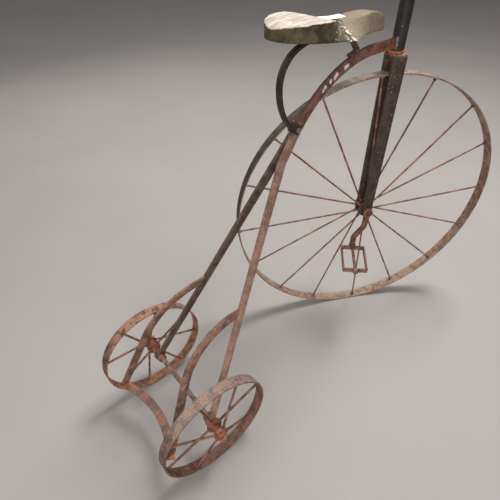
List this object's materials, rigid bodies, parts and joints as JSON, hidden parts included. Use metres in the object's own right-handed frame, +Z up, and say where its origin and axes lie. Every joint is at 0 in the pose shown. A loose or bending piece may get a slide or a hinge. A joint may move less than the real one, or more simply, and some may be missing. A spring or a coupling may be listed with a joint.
{
  "type": "tricycle",
  "caption": "Antique child's iron high-wheel tricycle with a waisted wooden saddle, curved flat-bar frame, pedals on the front wheel and a rear foot step",
  "frame": {"origin": "on the ground, under the middle of the outer box", "axes": "+X forward from the rear axle to the front wheel, +Y to the rider's left, +Z up"},
  "size_m": [1.076, 0.4284, 1.0165],
  "materials": {
    "dark_iron": "old black iron, worn and lightly rusted",
    "red_rust_bar": "flat bar under red-brown rust",
    "brown_bar": "flat bar under dark brown rust",
    "orange_rust": "bright orange flaking rust",
    "dusty_rim": "flat hoop under pale brown rust and dust",
    "rear_rim_rust": "flat hoop under orange-brown rust",
    "spoke_rust": "round rod under red-brown rust",
    "worn_steel": "worn bare iron with brown stain",
    "bleached_board": "bleached bare wood, dirty round the edges",
    "grip_wood": "dark turned wood"
  },
  "bodies": {
    "frame": {"head_tube": "dark_iron", "backbone": "red_rust_bar", "left_stay": "brown_bar", "right_brace": "brown_bar", "left_brace": "brown_bar", "rear_step": "rear_rim_rust", "rear_axle": "red_rust_bar", "linch_pins": "orange_rust", "inner_axle_rings": "orange_rust", "outer_axle_washers": "orange_rust", "junction_clip": "dark_iron", "junction_bolt": "worn_steel", "saddle_spring": "dark_iron", "saddle_bracket": "brown_bar", "saddle_board": "bleached_board", "saddle_screws": "worn_steel"},
    "steering": {"fork": "brown_bar", "steerer": "worn_steel", "crown_washer": "orange_rust", "head_washer": "orange_rust", "head_nut": "dark_iron", "stem_head": "dark_iron", "handlebar": "brown_bar", "left_grip": "grip_wood", "right_grip": "grip_wood"},
    "front_wheel": {"front_axle": "orange_rust", "front_hub": "spoke_rust", "front_rim": "dusty_rim", "front_spokes": "spoke_rust", "front_spoke_collars": "spoke_rust", "front_hub_collars": "orange_rust", "left_crank": "spoke_rust", "right_crank": "spoke_rust", "left_pedal_pin": "orange_rust", "right_pedal_pin": "orange_rust"},
    "right_pedal": {"right_pedal": "brown_bar"},
    "left_pedal": {"left_pedal": "brown_bar"},
    "left_rear_wheel": {"left_rear_rim": "rear_rim_rust", "left_rear_hub": "orange_rust", "left_rear_spokes": "spoke_rust"},
    "right_rear_wheel": {"right_rear_rim": "rear_rim_rust", "right_rear_hub": "orange_rust", "right_rear_spokes": "spoke_rust"}
  },
  "joints": [
    {"name": "steering", "type": "hinge", "parent": "frame", "child": "steering", "pos_m": [0.21748, 0, 0.83], "axis": [0, 0, 1], "range_deg": [-32, 88]},
    {"name": "front_wheel_spin", "type": "hinge", "parent": "steering", "child": "front_wheel", "pos_m": [0.21748, 0, 0.3556], "axis": [0.4695, 0.8829, 0], "continuous": true},
    {"name": "right_pedal_spin", "type": "hinge", "parent": "front_wheel", "child": "right_pedal", "pos_m": [0.14128, -0.0499, 0.2419], "axis": [-0.7032, -0.7032, -0.1045], "continuous": true},
    {"name": "left_pedal_spin", "type": "hinge", "parent": "front_wheel", "child": "left_pedal", "pos_m": [0.29367, 0.0499, 0.4693], "axis": [0.7032, 0.7032, 0.1045], "continuous": true},
    {"name": "left_rear_wheel_spin", "type": "hinge", "parent": "frame", "child": "left_rear_wheel", "pos_m": [-0.40752, 0.138, 0.1305], "axis": [0, 1, 0], "continuous": true},
    {"name": "right_rear_wheel_spin", "type": "hinge", "parent": "frame", "child": "right_rear_wheel", "pos_m": [-0.40752, -0.138, 0.1305], "axis": [0, 1, 0], "continuous": true}
  ]
}
